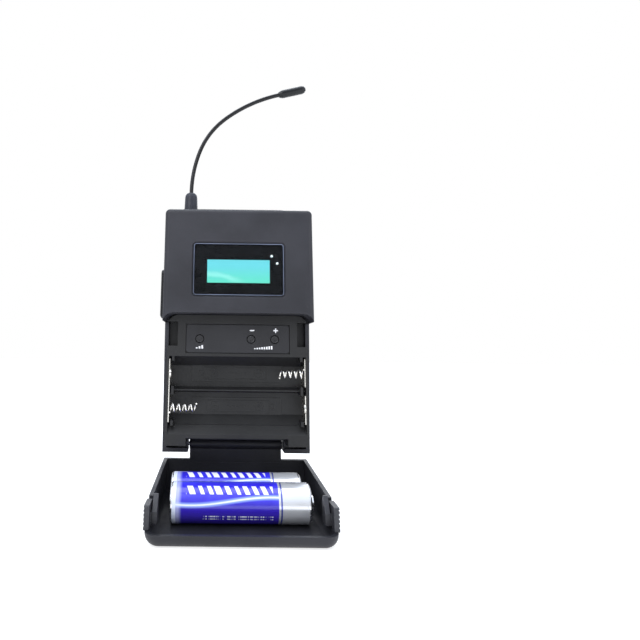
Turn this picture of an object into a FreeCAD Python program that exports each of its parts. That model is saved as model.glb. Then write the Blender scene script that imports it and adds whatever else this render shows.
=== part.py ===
"""Pocket radio unit worn on a belt: upright case, battery door open in front, two AA cells in the door.

Frame, in millimetres: +Z up, the front faces -Y, the origin is on the door's flat outer face,
under the middle of the case. The open door lies flat and the case stands on it.
"""
import FreeCAD, Part
import Sketcher
import math
import os
import re

from FreeCAD import Vector

doc = FreeCAD.newDocument("bodypack")
sheet = doc.addObject("Spreadsheet::Sheet", "Dimensions")

# Driving dimensions. Heights ending in _up are above the case's bottom, and positions ending in _x
# are from its middle plane, positive to the right as seen from the front.
DRIVING = {
    "body_w": 62.0,
    "body_d": 25.0,
    "body_tall": 101.2,
    "wall": 1.7,
    "edge_round": 2.0,
    "door_round": 4.0,
    "slip": 0.05,
    # door and hinge
    "hinge_inset": 3.0,
    "hinge_rise": 2.5,
    "hinge_pin_r": 0.8,
    "leaf_half": 19.8,
    "leaf_thick": 1.7,
    "lid_reach": 56.9,
    "lid_wall": 1.5,
    "rim_hinge": 15.5,
    "rim_far": 12.4,
    "lip": 4.2,
    "corner_r": 4.9,
    "lid_gap": 0.4,
    "catch_near": 44.3,
    "catch_far": 53.4,
    # head
    "part_back": 12.9,
    "head_up": 57.2,
    "window_half": 18.7,
    "window_low_up": 64.4,
    "window_top_up": 86.2,
    "active_half": 13.0,
    "active_low_up": 69.8,
    "active_top_up": 79.6,
    # battery frame
    "frame_half": 29.3,
    "frame_back": 17.1,
    "frame_front": 8.0,
    "bay_half": 28.4,
    "bay_floor": 15.9,
    "bay_low_up": 11.85,
    "bay_mid_up": 25.8,
    "bay_top_up": 39.75,
    "slot_inner": 25.0,
    # cells
    "cell_r": 6.8,
    "cell_long": 49.0,
    "cell_rise": 8.4,
    "cell_pitch": 13.8,
    "cell_first": 23.5,
    "sleeve": 0.12,
    # controls
    "panel_mid_x": 0.1,
    "panel_half": 21.6,
    "panel_low_up": 41.2,
    "panel_top_up": 53.0,
    "button_up": 47.0,
    "button_r": 1.55,
    "channel_x": -15.8,
    "down_x": 5.7,
    "up_x": 15.6,
    "knob_x": 18.1,
    "knob_y": 5.2,
    "knob_r": 6.3,
    "knob_tall": 3.3,
    "pad_tall": 2.1,
    "jack_x": -3.5,
    "jack_y": 6.9,
    "jack_r": 1.8,
    # antenna
    "mast_x": -21.2,
    "mast_y": 4.0,
    "whip_r": 0.9,
    # belt clip
    "wire_r": 0.95,
    "clip_up": 78.2,
    "anchor_up": 56.6,
    "anchor_out": 2.6,
    # fasteners
    "screw_x": 25.1,
    "screw_low_up": 7.0,
    "screw_top_up": 67.4,
    "screw_r": 1.1,
}
for row, (alias, amount) in enumerate(DRIVING.items(), start=1):
    sheet.set(f"A{row}", alias)
    sheet.set(f"B{row}", str(amount))
    sheet.setAlias(f"B{row}", alias)
doc.recompute()

# Derived lengths, written as formulas of the driving ones.
FORMULAS = {
    "half_w": "(body_w / 2)",
    "front": "(-body_d / 2)",
    "back": "(body_d / 2)",
    "bottom": "(body_d - hinge_inset - hinge_rise)",
    "axle_y": "(body_d / 2 - hinge_inset)",
    "axle_z": "(body_d - hinge_inset)",
    "lid_back": "(body_d / 2 - hinge_inset + hinge_rise)",
    "parting": "(part_back - body_d / 2)",
    "frame_face": "(frame_front - body_d / 2)",
    "top": "(bottom + body_tall)",
}
WORD = re.compile(r"[a-z_]+")


def formula(text):
    """A length written with driving and derived names, as the sheet's own expression."""
    text = str(text)
    for _ in range(3):
        text = WORD.sub(lambda m: FORMULAS.get(m.group(), m.group()), text)
    return WORD.sub(lambda m: "Dimensions." + m.group() if m.group() in DRIVING else m.group(), text)


def length(text):
    """The value of a formula in millimetres."""
    return float(sheet.evalExpression(formula(text)))


def bind(item, **properties):
    for name, text in properties.items():
        item.setExpression(name.replace("__", "."), formula(text))


def place(item, x="0", y="0", z="0"):
    bind(item, Placement__Base__x=x, Placement__Base__y=y, Placement__Base__z=z)


# ---------------------------------------------------------------- solids and booleans
AXES = {
    "x": FreeCAD.Rotation(Vector(0, 1, 0), 90),
    "y": FreeCAD.Rotation(Vector(1, 0, 0), -90),
    "z": FreeCAD.Rotation(),
}


def box(name, x, y, z):
    """A block between two formulas on each axis."""
    item = doc.addObject("Part::Box", name)
    bind(item, Length=f"({x[1]}) - ({x[0]})", Width=f"({y[1]}) - ({y[0]})", Height=f"({z[1]}) - ({z[0]})")
    place(item, x[0], y[0], z[0])
    return item


def rod(name, radius, axis, start, end, centre):
    """A cylinder along an axis from start to end, about the two other coordinates in centre."""
    item = doc.addObject("Part::Cylinder", name)
    item.Placement = FreeCAD.Placement(Vector(), AXES[axis])
    bind(item, Radius=radius, Height=f"({end}) - ({start})")
    low = {"x": (start, *centre), "y": (centre[0], start, centre[1]), "z": (*centre, start)}[axis]
    place(item, *low)
    return item


def fuse(name, *shapes):
    item = doc.addObject("Part::MultiFuse", name)
    item.Shapes = list(shapes)
    return item


def cut(name, base, *tools):
    item = doc.addObject("Part::Cut", name)
    item.Base = base
    item.Tool = tools[0] if len(tools) == 1 else fuse(name + "_tools", *tools)
    return item


def edges_where(shape, test):
    """Numbers of the edges whose middle point and direction pass the test."""
    found = []
    for number, edge in enumerate(shape.Edges, start=1):
        if len(edge.Vertexes) != 2:
            continue
        a, b = (v.Point for v in edge.Vertexes)
        middle = edge.valueAt((edge.FirstParameter + edge.LastParameter) / 2)
        if test(middle, b - a):
            found.append(number)
    return found


def rounded(name, base, radius, test):
    """Round the chosen straight edges of a solid."""
    doc.recompute()
    item = doc.addObject("Part::Fillet", name)
    item.Base = base
    amount = length(radius)
    item.Edges = [(n, amount, amount) for n in edges_where(base.Shape, test)]
    return item


def bevelled(name, base, size, test):
    """Bevel the chosen edges of a solid at 45 degrees."""
    doc.recompute()
    item = doc.addObject("Part::Chamfer", name)
    item.Base = base
    amount = length(size)
    item.Edges = [(n, amount, amount) for n in edges_where(base.Shape, test)]
    return item


def along(direction, axis):
    return direction.Length > 0 and abs(direction.dot(axis)) > 0.999 * direction.Length


X, Y, Z = Vector(1, 0, 0), Vector(0, 1, 0), Vector(0, 0, 1)


# ---------------------------------------------------------------- part design helpers
def origin_plane(body, role):
    return next(f for f in body.Origin.OriginFeatures if f.Role == role)


def outline(body, name, role, points, offset="0"):
    """A closed straight-sided sketch, each corner held by two dimensions from the origin."""
    sketch = body.newObject("Sketcher::SketchObject", name)
    sketch.AttachmentSupport = [(origin_plane(body, role), "")]
    sketch.MapMode = "FlatFace"
    bind(sketch, AttachmentOffset__Base__z=offset)
    spots = [Vector(length(a), length(b), 0) for a, b in points]
    for start, end in zip(spots, spots[1:] + spots[:1]):
        sketch.addGeometry(Part.LineSegment(start, end))
    for n in range(len(points)):
        sketch.addConstraint(Sketcher.Constraint("Coincident", n, 2, (n + 1) % len(points), 1))
    for n, corner in enumerate(points):
        for text, value, kind, axis in zip(corner, spots[n], ("DistanceX", "DistanceY"), (-2, -1)):
            if abs(value) < 1e-9:
                sketch.addConstraint(Sketcher.Constraint("PointOnObject", n, 1, axis))
                continue
            index = sketch.addConstraint(Sketcher.Constraint(kind, -1, 1, n, 1, value))
            sketch.setExpression(f"Constraints[{index}]", formula(text))
    return sketch


def grow(body, kind, name, sketch, **settings):
    feature = body.newObject("PartDesign::" + kind, name)
    feature.Profile = sketch
    for key, value in settings.items():
        setattr(feature, key, value)
    sketch.Visibility = False
    return feature


def turned(name, profile):
    """A turned piece: a profile of (radius, height) corners spun about its own Z axis."""
    body = doc.addObject("PartDesign::Body", name)
    sketch = outline(body, name + "_profile", "XZ_Plane", profile)
    spin = grow(body, "Revolution", name + "_turn", sketch, Angle=360.0)
    spin.ReferenceAxis = (sketch, ["V_Axis"])
    return body


def dressed(body, name, previous, radius, test):
    """Round chosen edges of a part design body."""
    doc.recompute()
    feature = body.newObject("PartDesign::Fillet", name)
    feature.Base = (previous, [f"Edge{n}" for n in edges_where(previous.Shape, test)])
    bind(feature, Radius=radius)
    return feature


nodes = {}


def node(name, item):
    """Name a finished sub-part."""
    item.Label = name
    nodes[name] = item
    return item


def up(text):
    """A height above the case's bottom, as a height in the frame."""
    return f"bottom + {text}"


# ---------------------------------------------------------------- rear shell
def rear_shell():
    """Back half of the case: its front edge leans where the door meets it."""
    slope = "(rim_hinge - rim_far) / catch_near"
    lean_low = "rim_hinge + lid_gap - body_d / 2"
    head_low = "54"
    corner = f"{lean_low} - {slope} * {head_low}"
    body = doc.addObject("PartDesign::Body", "rear_shell_body")
    outer = outline(body, "rear_outer", "YZ_Plane", [
        (lean_low, "bottom"), ("back", "bottom"), ("back", "top"), ("parting", "top"),
        ("parting", up(head_low)), (corner, up(head_low)),
    ])
    block = grow(body, "Pad", "rear_block", outer, Midplane=True)
    bind(block, Length="body_w")
    soft = dressed(body, "rear_round", block, "edge_round",
                   lambda m, d: m.y > length("back") - 0.1 and along(d, Z)
                   or m.z > length("top") - 0.1 and (along(d, Y) or m.y > length("back") - 0.1))
    inner = outline(body, "rear_inner", "YZ_Plane", [
        ("front", up("wall")), ("back - wall", up("wall")), ("back - wall", "top - wall"), ("front", "top - wall"),
    ])
    hollow = grow(body, "Pocket", "rear_hollow", inner, Midplane=True)
    bind(hollow, Length="2 * frame_half")
    doc.recompute()
    if hollow.Shape.Volume > 0.5 * soft.Shape.Volume:
        raise SystemExit("the rear shell is not hollow")

    posts, holes = [], []
    for side in ("-", ""):
        x = f"{side}screw_x"
        for tag, height, foot in (("low", "screw_low_up", "frame_back - body_d / 2"), ("top", "screw_top_up", "2.0")):
            key = f"{tag}_{'left' if side else 'right'}"
            posts.append(rod("post_" + key, "3.0 + 0.2", "y", foot, "back - wall", (x, up(height))))
            holes.append(rod("bore_" + key, "screw_r + 0.1", "y", "front", "back", (x, up(height))))
            holes.append(rod("sink_" + key, "3.0", "y", "back - 2.2", "back + 1", (x, up(height))))
    pads = [rod("floor_" + h.Name, "3.6", "y", "back - 3.6", "back - wall", tuple(c))
            for h, c in zip(holes[1::2], [(f"{s}screw_x", up(v)) for s in ("-", "")
                                          for v in ("screw_low_up", "screw_top_up")])]
    bosses, bores, wire_slots, wire_blocks = [], [], [], []
    for side, sign in (("left", "-"), ("right", "")):
        low, high = ("-24.6", "-leaf_half - 0.5") if sign else ("leaf_half + 0.5", "24.6")
        bosses.append(box("hinge_boss_" + side, (low, high), ("5.5", "back - 0.5"), (up("0.2"), up("6.2"))))
        low, high = ("-frame_half", "-22.6") if sign else ("22.6", "frame_half")
        wire_blocks.append(box("wire_block_" + side, (low, high), ("back - 5", "back - 1"), (up("51.6"), up("62.6"))))
        low, high = ("-half_w - 1", "-24") if sign else ("24", "half_w + 1")
        slot = box("wire_slot_" + side, (low, high), ("back - 3.8", "back + 1"), (up("54.2"), up("60.8")))
        wire_slots.append(rounded("wire_slot_round_" + side, slot, "2.6", lambda m, d: along(d, Y) and abs(m.x) < 26))
        low, high = ("-half_w - 1", "-15.6") if sign else ("15.6", "half_w + 1")
        wire_slots.append(box("wire_groove_" + side, (low, high), ("back - 0.6", "back + 1"),
                              (up("clip_up - 1.35"), up("clip_up + 1.35"))))
    bores.append(rod("hinge_bore", "hinge_pin_r", "x", "-23.4", "23.4", ("axle_y", "axle_z")))
    notch = box("hinge_notch", ("-leaf_half - 0.5", "leaf_half + 0.5"), ("front", "back + 1"),
                ("bottom - 1", up("hinge_rise * 2")))
    shelf = box("hinge_shelf", ("-leaf_half - 1", "leaf_half + 1"), ("4.6", "back - 1"), (up("hinge_rise * 2"), up("6.2")))
    label = box("label_recess", ("-15.3", "15.3"), ("back - 0.5", "back + 1"), (up("24.2"), up("42.9")))
    finger = rounded("finger_round", box("finger_recess", ("-18.8", "18.8"), ("back - 0.9", "back + 1"),
                                         (up("18.4"), up("23.8"))), "2.2", lambda m, d: along(d, Y))
    openings = [
        rod("knob_hole", "2.4", "z", "top - 3", "top + 1", ("knob_x", "knob_y")),
        rod("jack_hole", "3.0", "z", "top - 3", "top + 1", ("jack_x", "jack_y")),
        rod("mast_hole", "1.6", "z", "top - 3", "top + 1", ("mast_x", "mast_y")),
    ]
    carved = cut("rear_notched", body, notch)
    solid = fuse("rear_filled", carved, shelf, *bosses, *posts, *pads, *wire_blocks)
    node("rear_shell", cut("rear_shell_done", solid, *holes, *bores, *wire_slots, label, finger, *openings))


# ---------------------------------------------------------------- head
def head_shell():
    """Front of the head, with the display opening and an underside that follows the door's corners."""
    skin = box("head_block", ("-half_w", "half_w"), ("front", "parting"), (up("54"), "top"))
    soft = rounded("head_round", skin, "edge_round",
                   lambda m, d: m.y < length("front") + 0.1 and along(d, Z)
                   or m.z > length("top") - 0.1 and (along(d, Y) or m.y < length("front") + 0.1))
    hollow = box("head_hollow", ("-frame_half", "frame_half"), ("front + wall", "parting + 1"),
                 (up("head_up + wall"), "top - wall"))
    under = rounded("head_under", box("head_under_block", ("-half_w - 0.3", "half_w + 0.3"), ("front - 1", "parting + 1"),
                                      (up("40"), up("head_up"))),
                    "corner_r + 0.3", lambda m, d: along(d, Y) and m.z > length(up("50")))
    opening = rounded("window_corners", box("window_opening", ("-window_half", "window_half"),
                                            ("front - 1", "front + wall + 1"), (up("window_low_up"), up("window_top_up"))),
                      "1.2", lambda m, d: along(d, Y))
    posts = [rod(f"head_post_{n}", "3.0 + 0.2", "y", "front + wall - 0.5", "1.9", (f"{s}screw_x", up("screw_top_up")))
             for n, s in enumerate(("-", ""))]
    taps = [rod(f"head_tap_{n}", "screw_r", "y", "-6", "3", (f"{s}screw_x", up("screw_top_up")))
            for n, s in enumerate(("-", ""))]
    shell = cut("head_hollowed", soft, hollow, under)
    pierced = cut("head_pierced", fuse("head_posted", shell, *posts), opening, *taps)
    node("head_shell", bevelled("head_shell_done", pierced, "0.8",
                                lambda m, d: m.y < length("front") + 0.01 and abs(m.x) < length("window_half + 0.1")
                                and length(up("window_low_up - 0.1")) < m.z < length(up("window_top_up + 0.1"))))


def display():
    """Window, printed mask, module, its light box and two indicator lights."""
    plate = box("window_plate", ("-window_half + 0.1", "window_half - 0.1"), ("front + 0.15", "front + wall - 0.3"),
                (up("window_low_up + 0.1"), up("window_top_up - 0.1")))
    node("display_window", rounded("window_soft", plate, "1.1", lambda m, d: along(d, Y)))
    sheet_block = box("mask_block", ("-window_half - 1.5", "window_half + 1.5"), ("front + wall", "front + wall + 0.25"),
                      (up("window_low_up - 1.5"), up("window_top_up + 1.5")))
    view = box("mask_view", ("-active_half", "active_half"), ("front", "0"), (up("active_low_up"), up("active_top_up")))
    spots = (("13.8", "81.3"), ("16.1", "78.2"))
    dots = [rod(f"mask_dot_{n}", "0.55", "y", "front", "0", (x, up(z))) for n, (x, z) in enumerate(spots)]
    node("display_mask", cut("mask_done", sheet_block, view, *dots))
    lights = [rod(f"light_{n}", "0.45", "y", "front + wall - 0.2", "front + wall + 1.9", (x, up(z)))
              for n, (x, z) in enumerate(spots)]
    node("indicator_lights", fuse("lights_done", *lights))
    module = box("module_block", ("-active_half - 1.5", "active_half + 1.5"), ("front + wall + 0.3", "front + 5.2"),
                 (up("active_low_up - 2.6"), up("active_top_up + 2")))
    room = [rod(f"module_room_{n}", "0.7", "y", "front", "front + wall + 2.2", (x, up(z))) for n, (x, z) in enumerate(spots)]
    node("display_module", cut("module_done", module, *room))
    outer = box("light_box_outer", ("-14", "14"), ("front + 5.2", "1.2"), (up("67.6"), up("81.2")))
    inner = box("light_box_inner", ("-12.6", "12.6"), ("front + 5", "2"), (up("69"), up("79.8")))
    node("display_light_box", cut("light_box_done", outer, inner))


# ---------------------------------------------------------------- electronics
def electronics():
    """Boards, shield can, chips and the board connector."""
    node("front_board", box("front_board_block", ("-20", "20"), ("1.2", "2.2"), (up("42"), up("86"))))
    node("main_board", box("main_board_block", ("-20.5", "20.5"), ("7.0", "8.4"), (up("9"), up("86"))))
    can = box("shield_outer", ("-13", "11"), ("8.4", "10.6"), (up("58"), up("84")))
    room = box("shield_inner", ("-12.6", "10.6"), ("8", "10.2"), (up("58.4"), up("83.6")))
    node("radio_shield", cut("shield_done", can, room))
    spots = (("-12", "16", "9"), ("6", "20", "7"), ("-3", "48", "10"), ("12", "64", "6"), ("-14", "66", "5"))
    chips = []
    for n, (x, z, size) in enumerate(spots):
        chips.append(box(f"chip_{n}", (x, f"{x} + {size}"), ("5.6", "7.0"), (up(z), up(f"{z} + {size}"))))
    node("board_chips", fuse("chips_done", *chips))
    node("board_connector", box("connector_block", ("-9", "9"), ("2.2", "7.0"), (up("82.6"), up("85.2"))))


# ---------------------------------------------------------------- battery frame
CONTACTS = {
    "contact_plate_left": ("-bay_half", "-bay_half + 0.4", "bay_low_up + 1.2", "bay_top_up - 1.2"),
    "contact_plate_right_lower": ("bay_half - 0.4", "bay_half", "bay_low_up + 0.8", "bay_mid_up - 1.8"),
    "contact_plate_right_upper": ("bay_half - 0.4", "bay_half", "bay_mid_up + 1.8", "bay_top_up - 0.8"),
}


def contact_sheet(name, suffix):
    """The flat sheet of one contact, as a solid or as the pocket it sits in."""
    low_x, high_x, low_up, high_up = CONTACTS[name]
    return box(name + suffix, (low_x, high_x), ("frame_face + 0.6", "bay_floor - body_d / 2"), (up(low_up), up(high_up)))


def battery_frame():
    """Moulded frame with two cell bays, the catch slots and the control panel's recess."""
    body = doc.addObject("PartDesign::Body", "frame_body")
    rim = outline(body, "frame_rim", "XZ_Plane", [
        ("-frame_half", up("3.9")), ("-leaf_half - 1", up("3.9")), ("-leaf_half - 1", up("6.9")),
        ("leaf_half + 1", up("6.9")), ("leaf_half + 1", up("3.9")), ("frame_half", up("3.9")),
        ("frame_half", up("head_up - 0.2")), ("-frame_half", up("head_up - 0.2")),
    ], "-frame_face")
    block = grow(body, "Pad", "frame_block", rim, Reversed=True)
    bind(block, Length="frame_back - frame_front")
    top = dressed(body, "frame_top_round", block, "4.5",
                  lambda m, d: along(d, Y) and m.z > length(up("50")))
    slot_low, slot_top = up("44"), up("54.2")
    bay = outline(body, "bay_profile", "YZ_Plane", [
        ("frame_face - 1", up("bay_low_up - 4.3")), ("frame_face + 3.3", up("bay_low_up")),
        ("bay_floor - body_d / 2 - 3.9", up("bay_low_up")),
        ("bay_floor - body_d / 2", up("bay_low_up + 3.9")), ("bay_floor - body_d / 2", up("bay_mid_up - 1.2")),
        ("-1.6", up("bay_mid_up - 0.25")), ("-1.6", up("bay_mid_up + 0.25")),
        ("bay_floor - body_d / 2", up("bay_mid_up + 1.2")), ("bay_floor - body_d / 2", up("bay_top_up - 4")),
        ("bay_floor - body_d / 2 - 4", up("bay_top_up")), ("frame_face - 1", up("bay_top_up")),
    ])
    bays = grow(body, "Pocket", "bays", bay, Midplane=True)
    bind(bays, Length="2 * bay_half")
    doc.recompute()
    if bays.Shape.Volume > 0.75 * top.Shape.Volume:
        raise SystemExit("the bays are not cut")

    tools = [
        box("frame_room", ("-24", "24"), ("-2.4", "6"), (up("41.2"), up("56"))),
        box("frame_board_room", ("-21", "21"), ("0.5", "6"), (up("41.2"), up("60"))),
        box("panel_recess", ("panel_mid_x - panel_half - 0.2", "panel_mid_x + panel_half + 0.2"),
            ("frame_face - 1", "frame_face + 0.95"), (up("panel_low_up - 0.2"), up("panel_top_up + 0.2"))),
    ]
    for n, x in enumerate(("channel_x", "down_x", "up_x")):
        tools.append(rod(f"frame_button_{n}", "button_r + 0.3", "y", "front", "1", (x, up("button_up"))))
    tools += [contact_sheet(name, "_pocket") for name in CONTACTS]
    ribs = []
    for side, sign in (("left", "-"), ("right", "")):
        low, high = ("-frame_half - 1", "-slot_inner") if sign else ("slot_inner", "frame_half + 1")
        tools.append(box("catch_slot_" + side, (low, high), ("frame_face - 1", "2.8"), (slot_low, slot_top)))
        tools.append(rod("frame_tap_" + side, "screw_r", "y", "-1", "6", (f"{sign}screw_x", up("screw_low_up"))))
        low, high = ("-27.2", "-26.2") if sign else ("26.2", "27.2")
        for tag, middle, reach in (("low", "bay_low_up + 0.9", "1.0"), ("mid", "bay_mid_up", "1.7"),
                                   ("top", "bay_top_up - 0.9", "1.0")):
            ribs.append(box(f"bay_rib_{side}_{tag}", (low, high), ("frame_face + 0.2", "bay_floor - body_d / 2"),
                            (up(f"{middle} - {reach}"), up(f"{middle} + {reach}"))))
    node("battery_frame", cut("frame_done", fuse("frame_ribbed", body, *ribs), *tools))


def contacts():
    """Sheet contacts at both ends of the bays."""
    for name in CONTACTS:
        plate = contact_sheet(name, "_sheet")
        dimples = []
        if name == "contact_plate_left":
            dimples.append(rod("dimple_left", "2.0", "x", "-bay_half + 0.4", "-bay_half + 1.1",
                               ("cell_rise - body_d / 2", up("bay_mid_up + cell_pitch / 2"))))
        if name == "contact_plate_right_lower":
            dimples.append(rod("dimple_right", "2.0", "x", "bay_half - 1.1", "bay_half - 0.4",
                               ("cell_rise - body_d / 2", up("bay_mid_up - cell_pitch / 2"))))
        node(name, fuse(name + "_done", plate, *dimples) if dimples else plate)


def pipe(name, path_edges, radius):
    """A round wire along tangent straight and curved edges."""
    first = path_edges[0]
    start = first.valueAt(first.FirstParameter)
    ring = Part.Wire([Part.makeCircle(radius, start, first.tangentAt(first.FirstParameter))])
    item = doc.addObject("Part::Feature", name + "_pipe")
    item.Shape = Part.Wire(path_edges).makePipeShell([ring], True, False)
    return item


def coil(name, start, end, spot_up):
    """A conical coil spring lying along X, from its plate at start to its tip at end."""
    turns, steps = 4.5, 12
    wire, wide, narrow = 0.32, 1.95, 1.55
    reach = abs(length(end) - length(start)) - 2 * wire
    points = []
    for n in range(int(turns * steps) + 1):
        share = n / (turns * steps)
        radius = wide + (narrow - wide) * share
        angle = 2 * math.pi * turns * share
        points.append(Vector(radius * math.cos(angle), radius * math.sin(angle), wire + reach * share))
    arcs = [Part.Arc(*points[n:n + 3]).toShape() for n in range(0, len(points) - 2, 2)]
    item = pipe(name, arcs, wire)
    direction = X if length(end) > length(start) else X.negative()
    spot = Vector(length(start), length("cell_rise - body_d / 2"), length(up(spot_up)))
    item.Placement = FreeCAD.Placement(spot, FreeCAD.Rotation(Z, direction))
    node(name, item)


def controls():
    """Panel plate, three buttons and the switches behind them."""
    panel = box("panel_block", ("panel_mid_x - panel_half + 0.1", "panel_mid_x + panel_half - 0.1"),
                ("frame_face + 0.1", "frame_face + 0.95"), (up("panel_low_up + 0.1"), up("panel_top_up - 0.1")))
    soft = rounded("panel_soft", panel, "1.2", lambda m, d: along(d, Y))
    holes, switches = [], []
    for n, (name, x) in enumerate((("channel", "channel_x"), ("volume_down", "down_x"), ("volume_up", "up_x"))):
        holes.append(rod(f"panel_hole_{n}", "button_r + 0.3", "y", "front", "1", (x, up("button_up"))))
        button = turned("button_" + name + "_body", [
            ("0", "0"), ("button_r + 1", "0"), ("button_r + 1", "0.8"), ("button_r", "0.8"), ("button_r", "3.0"),
            ("button_r - 0.25", "3.2"), ("button_r - 0.6", "3.05"), ("0", "2.95"),
        ])
        button.Placement = FreeCAD.Placement(Vector(), FreeCAD.Rotation(X, 90))
        place(button, x, "-1.45", up("button_up"))
        node("button_" + name, button)
        base = box(f"switch_base_{n}", (f"{x} - 1.9", f"{x} + 1.9"), ("0", "1.2"),
                   (up("button_up - 1.9"), up("button_up + 1.9")))
        stem = rod(f"switch_stem_{n}", "0.9", "y", "-0.7", "0.1", (x, up("button_up")))
        switches.append(fuse(f"switch_{n}", base, stem))
    node("control_panel", cut("panel_done", soft, *holes))
    node("tact_switches", fuse("switches_done", *switches))


# ---------------------------------------------------------------- top of the case
def top_fittings():
    """Raised pad, round knob with its rotary control, and the plug socket."""
    body = doc.addObject("PartDesign::Body", "pad_body")
    side = outline(body, "pad_side", "XZ_Plane", [
        ("-26.2", "top"), ("16", "top"), ("16", "top + pad_tall"), ("-23.6", "top + pad_tall"),
    ], "-9.4")
    block = grow(body, "Pad", "pad_block", side, Reversed=False)
    bind(block, Length="14.4")
    keep = [
        rod("pad_knob_room", "knob_r + 0.45", "z", "top - 1", "top + 9", ("knob_x", "knob_y")),
        rod("pad_mast_room", "3.5", "z", "top - 1", "top + 9", ("mast_x", "mast_y")),
        rod("pad_jack_room", "3.0", "z", "top - 1", "top + 9", ("jack_x", "jack_y")),
    ]
    node("top_pad", cut("pad_done", body, *keep))

    knob = turned("knob_body", [
        ("2.0", "0"), ("knob_r - 0.3", "0"), ("knob_r", "0.3"), ("knob_r", "knob_tall - 0.5"),
        ("knob_r - 0.5", "knob_tall"), ("knob_r - 1.6", "knob_tall"), ("knob_r - 2.0", "knob_tall - 0.25"),
        ("0", "knob_tall - 0.25"), ("0", "knob_tall - 1.2"), ("2.0", "knob_tall - 1.2"),
    ])
    place(knob, "knob_x", "knob_y", "top + 0.3")
    pointer = box("knob_pointer", ("knob_x - 0.35", "knob_x + 0.35"), ("knob_y - knob_r + 0.4", "knob_y - 2.4"),
                  ("top + knob_tall - 0.1", "top + knob_tall + 1"))
    node("knob", cut("knob_done", knob, pointer))
    node("knob_shaft", rod("shaft_rod", "2.0", "z", "top - 9", "top + 0.3 + knob_tall - 1.2", ("knob_x", "knob_y")))
    case = box("rotary_case", ("knob_x - 5.6", "knob_x + 5.6"), ("knob_y - 5", "knob_y + 5"), ("top - 12.6", "top - 4.4"))
    bush = rod("rotary_bush", "3.4", "z", "top - 4.6", "top - wall - 0.1", ("knob_x", "knob_y"))
    bore = rod("rotary_bore", "2.0 + slip", "z", "top - 9.2", "top + 1", ("knob_x", "knob_y"))
    node("rotary_control", cut("rotary_done", fuse("rotary_solid", case, bush), bore))

    sleeve = rod("jack_sleeve", "3.0", "z", "top - 4", "top + pad_tall", ("jack_x", "jack_y"))
    housing = box("jack_case", ("jack_x - 4", "jack_x + 4"), ("jack_y - 3.6", "jack_y + 3.6"), ("top - 14.6", "top - wall - 0.1"))
    plug_bore = rod("jack_bore", "jack_r", "z", "top - 12", "top + 4", ("jack_x", "jack_y"))
    node("plug_socket", cut("jack_done", fuse("jack_solid", sleeve, housing), plug_bore))


# ---------------------------------------------------------------- antenna
def antenna():
    """Collar, tapered boot, sprung whip that bows over the case, and the capsule on its end."""
    collar = rod("collar_rod", "3.3", "z", "top", "top + 3.2", ("mast_x", "mast_y"))
    collar_soft = doc.addObject("Part::Chamfer", "collar_soft")
    doc.recompute()
    collar_soft.Base = collar
    collar_soft.Edges = [(n, 0.35, 0.35) for n, e in enumerate(collar.Shape.Edges, 1)
                         if e.BoundBox.ZMin > length("top + 3.1")]
    stub = rod("collar_stub", "1.6", "z", "top - 3.4", "top", ("mast_x", "mast_y"))
    lock = rod("collar_lock", "3.4", "z", "top - 3.4", "top - wall", ("mast_x", "mast_y"))
    bore = rod("collar_bore", "whip_r", "z", "top - 5", "top + 5", ("mast_x", "mast_y"))
    node("antenna_collar", cut("collar_done", fuse("collar_solid", collar_soft, stub, lock), bore))
    boot = turned("boot_body", [
        ("whip_r", "0"), ("3.0", "0"), ("3.05", "0.4"), ("2.8", "7.4"), ("2.55", "8.4"),
        ("1.9", "9.1"), ("1.2", "9.25"), ("whip_r", "9.25"),
    ])
    place(boot, "mast_x", "mast_y", "top + 3.2")
    node("antenna_boot", boot)

    # the whip: straight through the collar and boot, then three tangent arcs (turn in degrees, radius)
    spot = Vector(length("mast_x"), length("mast_y"), length("top - 2"))
    edges = [Part.makeLine(spot, spot + Vector(0, 0, 14.6))]
    spot = spot + Vector(0, 0, 14.6)
    heading = 0.0
    for turn, radius in ((19.7, 61.0), (31.4, 37.8), (24.8, 66.0)):
        centre = spot + Vector(math.cos(math.radians(heading)), 0, -math.sin(math.radians(heading))) * radius

        def on_arc(angle):
            a = math.radians(heading + angle)
            return centre - Vector(math.cos(a), 0, -math.sin(a)) * radius

        edges.append(Part.Arc(spot, on_arc(turn / 2), on_arc(turn)).toShape())
        spot = on_arc(turn)
        heading += turn
    whip = pipe("whip", edges, length("whip_r"))
    path_length = sum(e.Length for e in edges)
    if abs(whip.Shape.Volume / (math.pi * length("whip_r") ** 2 * path_length) - 1) > 0.01:
        raise SystemExit("the whip's volume is off")
    node("antenna_whip", whip)
    tip = turned("tip_body", [
        ("0", "0"), ("1.2", "0"), ("1.75", "1.4"), ("1.85", "2.2"), ("1.85", "11.4"), ("1.55", "12.4"),
        ("0.9", "13.05"), ("0", "13.2"),
    ])
    tip.Placement = FreeCAD.Placement(spot, FreeCAD.Rotation(Y, heading))
    node("antenna_tip", tip)


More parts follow.
